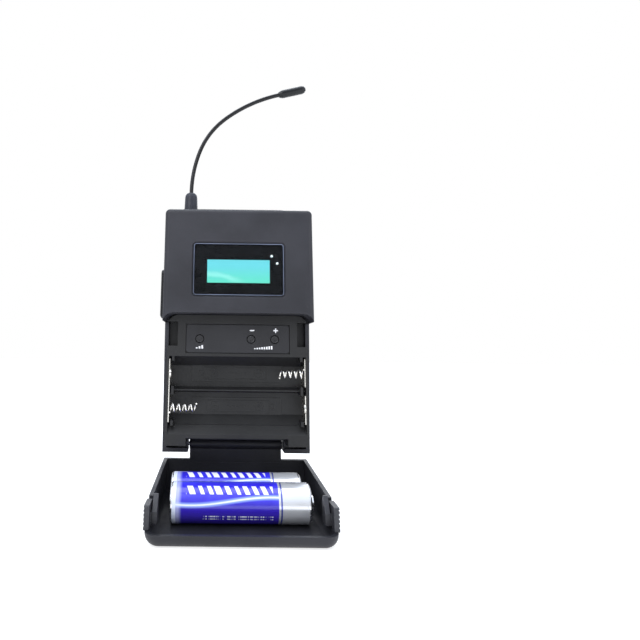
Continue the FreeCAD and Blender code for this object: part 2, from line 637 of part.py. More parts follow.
# ---------------------------------------------------------------- door
def door():
    """Door lying open: a tray with sloping side rims and rounded far corners, its leaf and pin."""
    body = doc.addObject("PartDesign::Body", "door_body")
    far = "lid_back - lid_reach"
    side = outline(body, "door_side", "YZ_Plane", [
        ("lid_back", "0"), (far, "0"), (far, "lip"), ("lid_back - catch_near", "lip"),
        ("lid_back - catch_near", "rim_far"), ("lid_back", "rim_hinge"),
    ])
    block = grow(body, "Pad", "door_block", side, Midplane=True)
    bind(block, Length="body_w")
    corners = dressed(body, "door_corners", block, "corner_r",
                      lambda m, d: along(d, Z) and m.y < length(far) + 0.1)
    tray = outline(body, "door_tray", "XY_Plane", [
        ("-half_w + lid_wall", f"{far} + lid_wall"), ("half_w - lid_wall", f"{far} + lid_wall"),
        ("half_w - lid_wall", "lid_back - wall"), ("-half_w + lid_wall", "lid_back - wall"),
    ], "lid_wall")
    hollow = grow(body, "Pocket", "door_hollow", tray, Type=1, Reversed=True)
    doc.recompute()
    if hollow.Shape.Volume > 0.5 * corners.Shape.Volume:
        raise SystemExit("the door is not hollow")
    inside = dressed(body, "door_inside_round", hollow, "corner_r - lid_wall",
                     lambda m, d: along(d, Z) and length(far) + 1 < m.y < length(far) + 3
                     and abs(m.x) < length("half_w - 1"))
    foot = dressed(body, "door_edge_round", inside, "door_round",
                   lambda m, d: abs(m.z) < 0.01 and m.y < length("lid_back") - 1)
    dressed(body, "door_floor_round", foot, "door_round - lid_wall",
            lambda m, d: abs(m.z - length("lid_wall")) < 0.01 and m.y < length("lid_back - wall") - 1)
    ledge = box("door_ledge", ("-26.5", "26.5"), (f"{far} + 4.8", f"{far} + 5.6"), ("lid_wall - 0.2", "lid_wall + 1.2"))
    seat = box("leaf_seat", ("-leaf_half", "leaf_half"), ("lid_back - leaf_thick", "lid_back - 0.05"),
               ("rim_hinge - 1.2", "rim_hinge + 1"))
    node("door_shell", cut("door_done", fuse("door_ledged", body, ledge), seat))

    leaf = box("leaf_plate", ("-leaf_half", "leaf_half"), ("lid_back - leaf_thick", "lid_back - 0.05"),
               ("rim_hinge - 1.2", "axle_z"))
    barrel = rod("leaf_barrel", "2.1", "x", "-leaf_half", "leaf_half", ("axle_y", "axle_z"))
    bore = rod("leaf_bore", "hinge_pin_r + slip", "x", "-half_w", "half_w", ("axle_y", "axle_z"))
    node("hinge_leaf", cut("leaf_done", fuse("leaf_solid", leaf, barrel), bore))
    node("hinge_pin", rod("pin_rod", "hinge_pin_r", "x", "-23.4", "23.4", ("axle_y", "axle_z")))


def catches():
    """Side catches of the door: a grooved finger pad, and a hook that enters the frame's slot."""
    for side, sign in (("left", "-"), ("right", "")):
        def span(low, high):
            return (low, high) if not sign else (f"-({high})", f"-({low})")

        pad = box(f"catch_pad_{side}", span("half_w - 1.4", "half_w + 0.4"),
                  ("lid_back - catch_far + 0.3", "lid_back - catch_near - 0.3"), ("lip + 0.2", "rim_far - 0.7"))
        soft = rounded(f"catch_pad_round_{side}", pad, "0.8",
                       lambda m, d: along(d, X) and m.z > length("rim_far - 0.8"))
        body = doc.addObject("PartDesign::Body", f"catch_hook_{side}")
        profile = outline(body, f"catch_profile_{side}", "YZ_Plane", [
            ("lid_back - 49.8", "lip + 1"), ("lid_back - 45.4", "lip + 1"), ("lid_back - 45.4", "12.6"),
            ("lid_back - 46", "13.6"), ("lid_back - 46.8", "13.6"), ("lid_back - 49.8", "8.8"),
        ], f"{sign}(half_w - 2.7)")
        hook = grow(body, "Pad", f"catch_barb_{side}", profile, Midplane=True)
        bind(hook, Length="1.6")
        bridge = box(f"catch_bridge_{side}", span("half_w - 2", "half_w - 1.3"),
                     ("lid_back - 49.6", "lid_back - 45.6"), ("lip + 1.1", "8.6"))
        grooves = [box(f"catch_groove_{side}_{n}", span("half_w + 0.05", "half_w + 1"),
                       ("lid_back - 54", "lid_back - 44"), (f"lip + {1.2 + 1.3 * n}", f"lip + {1.7 + 1.3 * n}"))
                   for n in range(5)]
        node(f"catch_{side}", cut(f"catch_done_{side}", fuse(f"catch_solid_{side}", soft, body, bridge), *grooves))


# ---------------------------------------------------------------- cells
def cells():
    """Two AA cells lying in the door, each a can with a printed sleeve around it."""
    for n, name in enumerate(("rear", "front")):
        y = f"lid_back - cell_first - {n} * cell_pitch"
        shift = "0.3" if n else "-0.7"
        can = turned(f"cell_{name}_body", [
            ("0", "0"), ("3.6", "0"), ("3.9", "0.35"), ("cell_r - 0.9", "0.35"), ("cell_r - 0.35", "0.15"),
            ("cell_r - sleeve", "0.5"), ("cell_r - sleeve", "cell_long - 0.7"), ("cell_r - 0.7", "cell_long - 0.1"),
            ("cell_r - 1.6", "cell_long"), ("3.4", "cell_long - 0.1"), ("2.75", "cell_long"),
            ("2.6", "cell_long + 1.1"), ("2.2", "cell_long + 1.35"), ("0", "cell_long + 1.35"),
        ])
        can.Placement = FreeCAD.Placement(Vector(), AXES["x"])
        place(can, f"{shift} - cell_long / 2", y, "cell_rise")
        node(f"cell_{name}_can", can)
        tube = rod(f"sleeve_outer_{n}", "cell_r", "x", f"{shift} - cell_long / 2 + 0.9", f"{shift} + cell_long / 2 - 1.1",
                   (y, "cell_rise"))
        core = rod(f"sleeve_core_{n}", "cell_r - sleeve", "x", "-half_w", "half_w", (y, "cell_rise"))
        node(f"cell_{name}_sleeve", cut(f"sleeve_done_{n}", tube, core))


# ---------------------------------------------------------------- belt clip, label and screws
def smooth_path(points, radii):
    """Straight runs joined by tangent arcs of the given radius at each inner point."""
    edges, start = [], points[0]
    for before, corner, after, radius in zip(points, points[1:], points[2:], radii):
        towards, away = (before - corner).normalize(), (after - corner).normalize()
        half = towards.getAngle(away) / 2
        reach = radius / math.tan(half)
        enter, leave = corner + towards * reach, corner + away * reach
        bisector = (towards + away).normalize()
        middle = corner + bisector * (radius / math.sin(half) - radius)
        edges.append(Part.makeLine(start, enter))
        edges.append(Part.Arc(enter, middle, leave).toShape())
        start = leave
    edges.append(Part.makeLine(start, points[-1]))
    return edges


def belt_clip():
    """Sprung wire loop on the back, and its two ends, which run down the sides into the shell."""
    hang = length("back + wire_r - 0.25")
    half = [
        (length("half_w + 0.5"), 0.0, length("clip_up")), (23.0, 0.0, length("clip_up")),
        (17.0, 0.7, length("clip_up")), (12.8, 1.5, 66.0),
        (13.2, 1.8, 54.0), (17.9, 1.6, 43.6), (18.3, 1.3, 34.0), (17.9, 1.0, 22.2), (9.0, 1.0, 23.4),
    ]
    right = [Vector(x, hang + y, length("bottom") + z) for x, y, z in half]
    left = [Vector(-v.x, v.y, v.z) for v in reversed(right)]
    bends = [14.0, 2.2, 14.0, 10.0, 9.0, 14.0, 2.0, 30.0]
    loop = pipe("clip_loop", smooth_path(right + left, bends + bends[::-1]), length("wire_r"))
    node("belt_clip", loop)
    for side, sign in (("left", -1), ("right", 1)):
        x = sign * length("half_w + anchor_out")
        deep = length("back - 2.6")
        low, high = length(up("anchor_up")), length(up("clip_up"))
        path = [
            Vector(sign * 25.8, deep, low + 2.4), Vector(x, deep, low), Vector(x, deep, high),
            Vector(x, hang, high), Vector(sign * length("half_w + 0.65"), hang, high),
        ]
        node(f"clip_anchor_{side}", pipe(f"anchor_{side}", smooth_path(path, [1.2, 1.2, 1.2]), length("wire_r")))


def fasteners_and_label():
    """Four case screws with cross recesses, and the plate in the rear recess."""
    screws = []
    for side in ("-", ""):
        for tag, height, tip in (("low", "screw_low_up", "-0.6"), ("top", "screw_top_up", "-5")):
            key = f"{tag}_{'left' if side else 'right'}"
            spot = (f"{side}screw_x", up(height))
            head = rod("screw_head_" + key, "2.5", "y", "back - 2.2", "back - 0.8", spot)
            shank = rod("screw_shank_" + key, "screw_r", "y", tip, "back - 2.0", spot)
            cross = [
                box("screw_cross_a_" + key, (f"{spot[0]} - 1.5", f"{spot[0]} + 1.5"), ("back - 1.5", "back"),
                    (f"{spot[1]} - 0.3", f"{spot[1]} + 0.3")),
                box("screw_cross_b_" + key, (f"{spot[0]} - 0.3", f"{spot[0]} + 0.3"), ("back - 1.5", "back"),
                    (f"{spot[1]} - 1.5", f"{spot[1]} + 1.5")),
            ]
            screws.append(cut("screw_" + key, fuse("screw_solid_" + key, head, shank), *cross))
    node("case_screws", fuse("screws_done", *screws))
    plate = box("label_block", ("-15", "15"), ("back - 0.5", "back - 0.15"), (up("24.5"), up("42.6")))
    node("rear_plate", rounded("label_soft", plate, "0.6", lambda m, d: along(d, Y)))


rear_shell()
head_shell()
display()
electronics()
battery_frame()
contacts()
coil("contact_spring_upper", "bay_half - 0.4", "17.2", "bay_mid_up + cell_pitch / 2")
coil("contact_spring_lower", "-bay_half + 0.4", "-16.4", "bay_mid_up - cell_pitch / 2")
controls()
top_fittings()
antenna()
door()
catches()
cells()
belt_clip()
fasteners_and_label()
doc.recompute()

# ---------------------------------------------------------------- checks and files
failed = [o.Name for o in doc.Objects if {"Invalid", "Error"} & set(o.State)]
if failed:
    raise SystemExit("failed objects: " + ", ".join(failed))
os.makedirs("parts", exist_ok=True)
for name, item in nodes.items():
    shape = item.Shape
    if shape.isNull() or not shape.isValid() or not shape.Solids:
        raise SystemExit(f"{name} is not a valid solid")
for name, item in nodes.items():
    item.Shape.exportStep(os.path.join("parts", name + ".step"))
    print(f"{name}: {len(item.Shape.Solids)} solid(s), {item.Shape.Volume:.1f} mm3")
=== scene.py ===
"""Looks, light and camera for the pocket radio unit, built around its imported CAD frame."""

import math

import bmesh
import bpy
from mathutils import Matrix, Vector


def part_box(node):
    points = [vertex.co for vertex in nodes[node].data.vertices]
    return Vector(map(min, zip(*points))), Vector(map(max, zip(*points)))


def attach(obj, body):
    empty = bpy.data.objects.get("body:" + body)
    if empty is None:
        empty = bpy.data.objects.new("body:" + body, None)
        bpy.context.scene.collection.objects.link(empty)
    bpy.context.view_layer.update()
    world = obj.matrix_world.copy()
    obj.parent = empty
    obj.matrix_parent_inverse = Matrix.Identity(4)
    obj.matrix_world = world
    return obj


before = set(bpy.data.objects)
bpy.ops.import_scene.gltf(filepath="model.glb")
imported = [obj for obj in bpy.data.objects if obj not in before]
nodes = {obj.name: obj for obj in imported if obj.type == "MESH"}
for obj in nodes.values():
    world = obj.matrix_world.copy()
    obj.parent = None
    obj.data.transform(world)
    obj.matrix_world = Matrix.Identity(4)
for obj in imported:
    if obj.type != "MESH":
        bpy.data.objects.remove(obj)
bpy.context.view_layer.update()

MM = 0.001
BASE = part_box("rear_shell")[0].z          # the case's bottom
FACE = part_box("control_panel")[0].y       # the control panel's front
BAY_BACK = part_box("contact_plate_left")[1].y
scene = bpy.context.scene


# ---------------------------------------------------------------- node helpers
class Tree:
    """Short ways to add and join shader nodes."""

    def __init__(self, name):
        self.material = bpy.data.materials.new(name)
        self.material.use_nodes = True
        self.tree = self.material.node_tree
        self.tree.nodes.clear()
        self.shader = self.add("ShaderNodeBsdfPrincipled")
        self.out = self.add("ShaderNodeOutputMaterial")
        self.join(self.shader.outputs[0], self.out.inputs["Surface"])
        self.place = self.add("ShaderNodeTexCoord").outputs["Object"]

    def add(self, kind, **settings):
        node = self.tree.nodes.new(kind)
        for key, value in settings.items():
            setattr(node, key, value)
        return node

    def join(self, source, target):
        if isinstance(source, bpy.types.NodeSocket):
            self.tree.links.new(source, target)
        else:
            target.default_value = source

    def math(self, operation, *values, clamp=False):
        node = self.add("ShaderNodeMath", operation=operation, use_clamp=clamp)
        for value, socket in zip(values, node.inputs):
            self.join(value, socket)
        return node.outputs[0]

    def ramp(self, value, low, high, out_low=0.0, out_high=1.0):
        node = self.add("ShaderNodeMapRange", interpolation_type="SMOOTHSTEP")
        for key, amount in zip(("Value", "From Min", "From Max", "To Min", "To Max"),
                               (value, low, high, out_low, out_high)):
            self.join(amount, node.inputs[key])
        return node.outputs[0]

    def noise(self, scale, detail=2.0, stretch=(1, 1, 1), rough=0.5):
        vector = self.place
        if stretch != (1, 1, 1):
            mapping = self.add("ShaderNodeMapping")
            self.join(vector, mapping.inputs["Vector"])
            mapping.inputs["Scale"].default_value = stretch
            vector = mapping.outputs[0]
        node = self.add("ShaderNodeTexNoise")
        self.join(vector, node.inputs["Vector"])
        node.inputs["Scale"].default_value = scale
        node.inputs["Detail"].default_value = detail
        node.inputs["Roughness"].default_value = rough
        return node.outputs["Fac"]

    def mix(self, share, a, b):
        node = self.add("ShaderNodeMix", data_type="RGBA")
        self.join(share, node.inputs[0])
        for colour, socket in ((a, node.inputs[6]), (b, node.inputs[7])):
            self.join(colour if isinstance(colour, bpy.types.NodeSocket) else (*colour, 1.0), socket)
        return node.outputs[2]

    def axes(self):
        node = self.add("ShaderNodeSeparateXYZ")
        self.join(self.place, node.inputs[0])
        return node.outputs

    def bump(self, *layers, edge=0.0):
        """Bump layers as (height, distance in metres), on top of softened edges of radius edge."""
        normal = None
        if edge:
            soft = self.add("ShaderNodeBevel", samples=6)
            soft.inputs["Radius"].default_value = edge
            normal = soft.outputs[0]
        for height, distance in layers:
            node = self.add("ShaderNodeBump")
            node.inputs["Distance"].default_value = distance
            node.inputs["Strength"].default_value = 1.0
            self.join(height, node.inputs["Height"])
            if normal is not None:
                self.join(normal, node.inputs["Normal"])
            normal = node.outputs[0]
        if normal is not None:
            self.join(normal, self.shader.inputs["Normal"])

    def edge_mask(self, radius):
        """Near 1 where an edge is within the radius, and 0 on flat surfaces."""
        soft = self.add("ShaderNodeBevel", samples=6)
        soft.inputs["Radius"].default_value = radius
        flat = self.add("ShaderNodeNewGeometry").outputs["Normal"]
        dot = self.add("ShaderNodeVectorMath", operation="DOT_PRODUCT")
        self.join(soft.outputs[0], dot.inputs[0])
        self.join(flat, dot.inputs[1])
        return self.ramp(dot.outputs["Value"], 0.995, 0.85)


def set_values(shader, **values):
    for key, value in values.items():
        shader.inputs[key.replace("_", " ")].default_value = value


# ---------------------------------------------------------------- materials
def plastic(name, colour, rough, grain=0.00001, edge=0.0002, edge_wear_and_highlight=0.35, mottle=0.12, specular=0.32):
    """Moulded plastic: spark-eroded grain, faint mottling and handling marks, edges made paler as rubbed
    wear and as a painted edge highlight.
    """
    t = Tree(name)
    set_values(t.shader, Specular_IOR_Level=specular)
    cloud = t.noise(55, 4.0)
    fine = t.noise(5200, 2.0, rough=0.7)
    pores = t.noise(1500, 3.0)
    speck = t.ramp(t.noise(2300, 1.0), 0.73, 0.78)
    paler = [min(1.0, c * 1.7 + 0.006) for c in colour]
    darker = [c * (1 - mottle * 2) for c in colour]
    lighter = [c * (1 + mottle * 2) for c in colour]
    body = t.mix(t.ramp(cloud, 0.3, 0.7), darker, lighter)
    grained = t.mix(t.math("MULTIPLY", t.ramp(fine, 0.35, 0.75), 0.35), body, paler)
    # edges paler: partly rubbed wear, partly a painted highlight along every edge
    rubbed_and_highlit = t.mix(t.math("MULTIPLY", t.edge_mask(edge * 2.2), edge_wear_and_highlight), grained, paler)
    dusted = t.mix(t.math("MULTIPLY", speck, 0.12), rubbed_and_highlit, (0.2, 0.2, 0.2))
    t.join(dusted, t.shader.inputs["Base Color"])
    smudge = t.ramp(t.noise(90, 5.0, rough=0.6), 0.35, 0.7, rough - 0.05, rough + 0.07)
    polished = t.math("MULTIPLY", t.edge_mask(edge * 2.2), 0.1)
    t.join(t.math("SUBTRACT", smudge, polished), t.shader.inputs["Roughness"])
    t.bump((pores, grain * 2.0), (fine, grain), edge=edge)
    return t.material


def metal(name, colour, rough, brush=(1, 1, 1), edge=0.0001, tarnish=0.2):
    """Plated or turned metal with fine brushing, slight colour drift and dull spots."""
    t = Tree(name)
    set_values(t.shader, Metallic=1.0)
    drift = t.noise(260, 4.0)
    lines = t.noise(2600, 2.0, stretch=brush)
    dull = [c * (1 - tarnish) for c in colour]
    t.join(t.mix(t.ramp(drift, 0.35, 0.7), colour, dull), t.shader.inputs["Base Color"])
    t.join(t.ramp(lines, 0.3, 0.7, rough - 0.06, rough + 0.1), t.shader.inputs["Roughness"])
    t.bump((lines, 0.000004), edge=edge)
    return t.material


def rubber(name, colour, rough):
    """Soft satin rubber with a faint moulding grain along it."""
    t = Tree(name)
    set_values(t.shader, Specular_IOR_Level=0.3, Sheen_Weight=0.04, Sheen_Roughness=0.5)
    darker = [c * 0.75 for c in colour]
    lighter = [c * 1.35 for c in colour]
    t.join(t.mix(t.ramp(t.noise(120, 4.0), 0.3, 0.7), darker, lighter), t.shader.inputs["Base Color"])
    t.join(t.ramp(t.noise(400, 4.0), 0.3, 0.7, rough - 0.06, rough + 0.08), t.shader.inputs["Roughness"])
    t.bump((t.noise(2600, 3.0), 0.000004))
    return t.material


def window_glass():
    """Polished clear acrylic with the faintest smoke and a few hairline scratches."""
    t = Tree("window_acrylic")
    set_values(t.shader, Transmission_Weight=1.0, IOR=1.16, Base_Color=(0.88, 0.92, 0.94, 1))
    haze = t.ramp(t.noise(60, 5.0), 0.45, 0.8, 0.015, 0.06)
    t.join(haze, t.shader.inputs["Roughness"])
    t.bump((t.noise(700, 1.0, stretch=(1, 1, 0.02)), 0.0000012), edge=0.0003)
    return t.material


def display_glow():
    """Back-lit liquid crystal: teal, greener below, with a painted slanting reflection of glare and a fine
    cell grid.
    """
    t = Tree("display_teal")
    low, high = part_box("display_module")
    x, _, z = t.axes()
    across = t.ramp(x, low.x, high.x)
    upward = t.math("DIVIDE", t.math("SUBTRACT", z, low.z), high.z - low.z)
    base = t.mix(t.ramp(upward, 0.15, 0.75), (0.14, 0.74, 0.56), (0.16, 0.68, 0.74))
    # painted reflection: a pale slanting band of glare, put into both the colour and the glow
    slant = t.math("ADD", t.math("MULTIPLY", across, 0.42), upward)
    ripple = t.math("ADD", slant, t.math("MULTIPLY", t.noise(180, 3.0), 0.16))
    painted_glare = t.math("MULTIPLY", t.ramp(ripple, 0.42, 0.52), t.ramp(ripple, 0.66, 0.54))
    painted_glare = t.math("MULTIPLY", painted_glare, t.ramp(across, 0.75, 0.25))
    with_painted_glare = t.mix(t.math("MULTIPLY", painted_glare, 0.5), base, (0.42, 0.95, 0.85))
    grid = t.math("ADD", *(t.math("PINGPONG", t.math("MULTIPLY", v, 1 / (0.55 * MM)), 0.5) for v in (x, z)))
    celled = t.mix(t.math("MULTIPLY", t.ramp(grid, 0.12, 0.02), 0.3), with_painted_glare, (0.03, 0.3, 0.3))
    t.join(t.mix(0.8, celled, (0.0, 0.02, 0.02)), t.shader.inputs["Base Color"])
    t.join(celled, t.shader.inputs["Emission Color"])
    set_values(t.shader, Emission_Strength=1.0, Roughness=0.35, Specular_IOR_Level=0.15)
    return t.material


def glow(name, colour, strength):
    t = Tree(name)
    t.join(t.mix(t.noise(900, 2.0), [c * 0.8 for c in colour], colour), t.shader.inputs["Emission Color"])
    set_values(t.shader, Emission_Strength=strength, Roughness=0.2, Base_Color=(*colour, 1))
    return t.material


def printed(name, colour):
    """Pad-printed ink: nearly flat colour, thinner at places."""
    t = Tree(name)
    thin = [c * 0.8 for c in colour]
    t.join(t.mix(t.ramp(t.noise(2400, 3.0), 0.3, 0.6), thin, colour), t.shader.inputs["Base Color"])
    t.join(t.ramp(t.noise(1200, 2.0), 0.3, 0.7, 0.4, 0.55), t.shader.inputs["Roughness"])
    t.bump((t.noise(3800, 2.0), 0.000006))
    return t.material


def circuit_board():
    """Green solder mask with tracks showing through as paler lines."""
    t = Tree("solder_mask")
    x, _, z = t.axes()
    tracks = t.math("PINGPONG", t.math("MULTIPLY", t.math("ADD", x, t.math("MULTIPLY", z, 0.5)), 420), 0.5)
    line = t.math("MULTIPLY", t.ramp(tracks, 0.1, 0.04), t.ramp(t.noise(140, 1.0), 0.45, 0.5))
    t.join(t.mix(line, (0.012, 0.11, 0.045), (0.05, 0.26, 0.1)), t.shader.inputs["Base Color"])
    t.join(t.ramp(t.noise(500, 3.0), 0.3, 0.7, 0.25, 0.4), t.shader.inputs["Roughness"])
    t.bump((line, 0.00003), edge=0.0001)
    return t.material


def cell_sleeve(node_name, turn):
    """Printed shrink sleeve: royal blue, painted lighter over the top as a highlight and painted darker on
    the lower front as shade, a pale sweep, slanted white bars and a silver band at one end.

    Distances along the cell run from 0 to 1, and those around it are angles in radians.
    """
    t = Tree(node_name + "_print")
    low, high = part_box(node_name)
    middle = (low + high) / 2
    x, y, z = t.axes()
    along = t.math("DIVIDE", t.math("SUBTRACT", x, low.x), high.x - low.x)
    # angle around the cell, zero at the top and growing towards the front
    around = t.math("ARCTAN2", t.math("SUBTRACT", middle.y, y), t.math("SUBTRACT", z, middle.z))
    around = t.math("SUBTRACT", around, turn)
    royal = t.mix(t.ramp(t.noise(130, 3.0), 0.3, 0.7), (0.028, 0.02, 0.6), (0.045, 0.04, 0.78))
    # painted highlight: the sleeve is made lighter towards its top, where the light falls
    pale = t.mix(t.ramp(around, 0.15, -0.5), royal, (0.12, 0.17, 0.72))
    # painted shade: the sleeve is made darker on its lower front, turned from the light
    painted_under_shade = t.mix(t.ramp(around, 0.9, 1.7), pale, (0.035, 0.016, 0.42))
    wave = t.math("MULTIPLY", t.math("SINE", t.math("MULTIPLY_ADD", along, 5.2, 0.9)), 0.2)
    sweep = t.math("ABSOLUTE", t.math("SUBTRACT", t.math("SUBTRACT", around, 1.12), wave))
    swept = t.mix(t.ramp(sweep, 0.17, 0.03), painted_under_shade, (0.3, 0.42, 0.95))
    core = t.mix(t.ramp(sweep, 0.055, 0.015), swept, (0.8, 0.86, 1.0))
    # a row of slanted bars, in the place of the maker's lettering
    step = t.math("ADD", t.math("MULTIPLY", along, 15.0), t.math("MULTIPLY", around, -0.8))
    slanted = t.math("FRACT", step)
    chance = t.add("ShaderNodeTexWhiteNoise", noise_dimensions="1D")
    t.join(t.math("FLOOR", step), chance.inputs["W"])
    start = t.math("MULTIPLY_ADD", chance.outputs["Value"], 0.3, 0.22)
    rising = t.ramp(t.math("SUBTRACT", slanted, start), 0.0, 0.07)
    bars = t.math("MULTIPLY", rising, t.ramp(slanted, 0.98, 0.91))
    row = t.math("MULTIPLY", t.ramp(around, 0.3, 0.34), t.ramp(around, 0.82, 0.78))
    span = t.math("MULTIPLY", t.ramp(along, 0.1, 0.105), t.ramp(along, 0.74, 0.735))
    bars = t.math("MULTIPLY", t.math("MULTIPLY", bars, row), span)
    lettered = t.mix(bars, core, (0.93, 0.93, 0.97))
    fine = t.ramp(t.noise(2400, 1.0, stretch=(1, 0.02, 0.02)), 0.47, 0.52)
    rows = t.math("FRACT", t.math("MULTIPLY", around, 6.2))
    ruled_rows = t.math("MULTIPLY", t.ramp(rows, 0.3, 0.4), t.ramp(rows, 0.85, 0.75))
    low_strip = t.math("MULTIPLY", t.ramp(around, 1.76, 1.78), t.ramp(around, 2.1, 2.08))
    small = t.math("MULTIPLY", t.math("MULTIPLY", fine, ruled_rows), low_strip)
    reach = t.math("MULTIPLY", t.ramp(along, 0.2, 0.21), t.ramp(along, 0.74, 0.73))
    ruled = t.mix(t.math("MULTIPLY", small, reach), lettered, (0.8, 0.83, 0.95))
    silver = t.ramp(along, 0.775, 0.78)
    line = t.math("MULTIPLY", t.ramp(along, 0.79, 0.794), t.ramp(along, 0.806, 0.802))
    banded = t.mix(silver, ruled, (0.8, 0.81, 0.84))
    lined = t.mix(line, banded, (0.1, 0.12, 0.5))
    dark_line = t.math("MULTIPLY", t.ramp(along, 0.84, 0.845), t.ramp(along, 0.92, 0.915))
    begun = t.math("MULTIPLY", dark_line, t.ramp(around, -0.2, -0.17))
    marks = t.math("MULTIPLY", begun, t.ramp(around, -0.02, -0.05))
    marked = t.mix(marks, lined, (0.25, 0.27, 0.36))
    fading = t.math("MULTIPLY", t.ramp(along, 0.075, 0.04), 0.5)
    white = t.math("MAXIMUM", t.ramp(along, 0.03, 0.026), fading)
    t.join(t.mix(white, marked, (0.74, 0.8, 0.95)), t.shader.inputs["Base Color"])
    t.join(t.math("MULTIPLY", silver, 0.55), t.shader.inputs["Metallic"])
    t.join(t.ramp(t.noise(300, 3.0), 0.3, 0.7, 0.16, 0.27), t.shader.inputs["Roughness"])
    set_values(t.shader, Coat_Weight=0.5, Coat_Roughness=0.08)
    t.bump((t.noise(90, 2.0, stretch=(0.3, 1, 1)), 0.00002))
    return t.material


CASE = plastic("case_black_textured", (0.022, 0.022, 0.027), 0.5, grain=0.000013, edge=0.00035)
DOOR = plastic("door_black_textured", (0.017, 0.017, 0.021), 0.47, grain=0.000012, edge=0.0003)
FRAME = plastic("frame_black_satin", (0.015, 0.0148, 0.015), 0.42, grain=0.000006, edge=0.0002, edge_wear_and_highlight=0.45)
PANEL = plastic("panel_black_satin", (0.018, 0.0178, 0.02), 0.4, grain=0.000005, edge=0.00015)
BUTTON = plastic("button_black_satin", (0.021, 0.0205, 0.022), 0.36, grain=0.000004, edge=0.0003, edge_wear_and_highlight=0.6)
TOP = plastic("top_black_satin", (0.02, 0.02, 0.024), 0.38, grain=0.000006, edge=0.0004)
CATCH = plastic("catch_grey_satin", (0.035, 0.035, 0.04), 0.34, grain=0.000004, edge=0.0002, edge_wear_and_highlight=0.6)
COATED_WIRE = plastic("wire_black_coating", (0.012, 0.012, 0.014), 0.28, grain=0.000003, edge=0, edge_wear_and_highlight=0.0)
SCREW = metal("screw_black_oxide", (0.09, 0.09, 0.1), 0.34, tarnish=0.35)
PLATE = plastic("plate_grey_print", (0.055, 0.055, 0.062), 0.42, grain=0.000003, edge=0.00015)
NICKEL = metal("contact_nickel", (0.86, 0.83, 0.76), 0.2, tarnish=0.12)
SPRING = metal("spring_nickel", (0.95, 0.92, 0.86), 0.14, tarnish=0.06, edge=0)
CAN = metal("cell_can_nickel", (0.88, 0.88, 0.9), 0.18, brush=(0.05, 1, 1), tarnish=0.08)
STEEL = metal("pin_steel", (0.6, 0.6, 0.61), 0.28, brush=(0.05, 1, 1))
TIN = metal("shield_tin", (0.75, 0.75, 0.73), 0.35, brush=(1, 1, 0.1))
RUBBER = rubber("antenna_rubber", (0.03, 0.032, 0.042), 0.42)
TIP = rubber("antenna_tip_gloss", (0.007, 0.008, 0.009), 0.22)
WHIP = rubber("antenna_whip_skin", (0.006, 0.006, 0.007), 0.22)
MASK = plastic("mask_black_print", (0.003, 0.003, 0.004), 0.45, grain=0.000001, edge=0, edge_wear_and_highlight=0, mottle=0.05,
               specular=0.1)
# painted highlight: bright blue-grey for the bead that stands in for the glint on the window's edge
PAINTED_RIM_HIGHLIGHT = plastic("window_edge_painted_highlight", (0.17, 0.2, 0.29), 0.18, grain=0.000001, edge=0, edge_wear_and_highlight=0, mottle=0.2,
              specular=0.5)
INK = printed("ink_white", (0.88, 0.88, 0.9))
INK_GREY = printed("ink_grey", (0.34, 0.34, 0.37))
BOARD = circuit_board()
CREAM = plastic("connector_cream", (0.6, 0.56, 0.42), 0.45, grain=0.000004, mottle=0.04)
DIFFUSER = plastic("diffuser_white", (0.8, 0.8, 0.8), 0.5, grain=0.000004, mottle=0.03)

LOOKS = {
    CASE: ["rear_shell", "head_shell"],
    DOOR: ["door_shell", "hinge_leaf"],
    FRAME: ["battery_frame"],
    PANEL: ["control_panel"],
    BUTTON: ["button_channel", "button_volume_down", "button_volume_up"],
    TOP: ["top_pad", "knob", "plug_socket", "antenna_collar"],
    CATCH: ["catch_left", "catch_right"],
    COATED_WIRE: ["belt_clip", "clip_anchor_left", "clip_anchor_right"],
    SCREW: ["case_screws"],
    PLATE: ["rear_plate"],
    NICKEL: ["contact_plate_left", "contact_plate_right_lower", "contact_plate_right_upper"],
    SPRING: ["contact_spring_upper", "contact_spring_lower"],
    CAN: ["cell_rear_can", "cell_front_can"],
    STEEL: ["hinge_pin", "knob_shaft"],
    TIN: ["radio_shield"],
    RUBBER: ["antenna_boot"],
    TIP: ["antenna_tip"],
    WHIP: ["antenna_whip"],
    MASK: ["display_mask", "tact_switches", "board_chips", "rotary_control"],
    BOARD: ["main_board", "front_board"],
    CREAM: ["board_connector"],
    DIFFUSER: ["display_light_box"],
    window_glass(): ["display_window"],
    display_glow(): ["display_module"],
    # painted highlights: two glowing dots that stand in for lamp glints on the display window
    glow("glint_dots_painted_glow", (0.95, 0.97, 1.0), 0.7): ["indicator_lights"],
    cell_sleeve("cell_rear_sleeve", -0.25): ["cell_rear_sleeve"],
    cell_sleeve("cell_front_sleeve", 0.12): ["cell_front_sleeve"],
}
for material, names in LOOKS.items():
    for name in names:
        nodes[name].data.materials.clear()
        nodes[name].data.materials.append(material)


